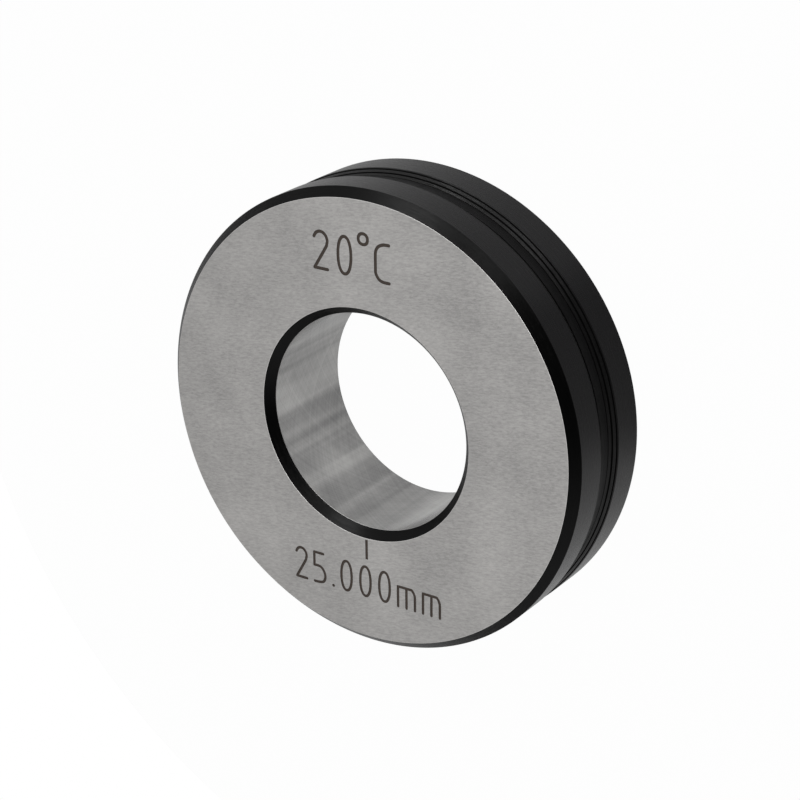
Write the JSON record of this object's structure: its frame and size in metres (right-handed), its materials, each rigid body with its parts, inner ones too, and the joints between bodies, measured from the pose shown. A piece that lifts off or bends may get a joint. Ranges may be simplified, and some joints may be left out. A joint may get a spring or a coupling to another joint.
{
  "type": "setting ring gauge",
  "caption": "Flat steel setting ring with a precision central bore, bevelled edges and a shallow grip groove round its rim, used to set bore gauges.",
  "frame": {"origin": "centre of the back face, on the axis of the bore", "axes": "+Z along the axis of the bore, from the back face to the marked face; +Y is the upper side of the marks, +X their reading direction"},
  "size_m": [0.053, 0.053, 0.014],
  "materials": {
    "ring_steel": "fine ground faces and honed bore, black oxide on the rim and bevels"
  },
  "bodies": {
    "root": {"setting_ring": "ring_steel"}
  },
  "joints": []
}
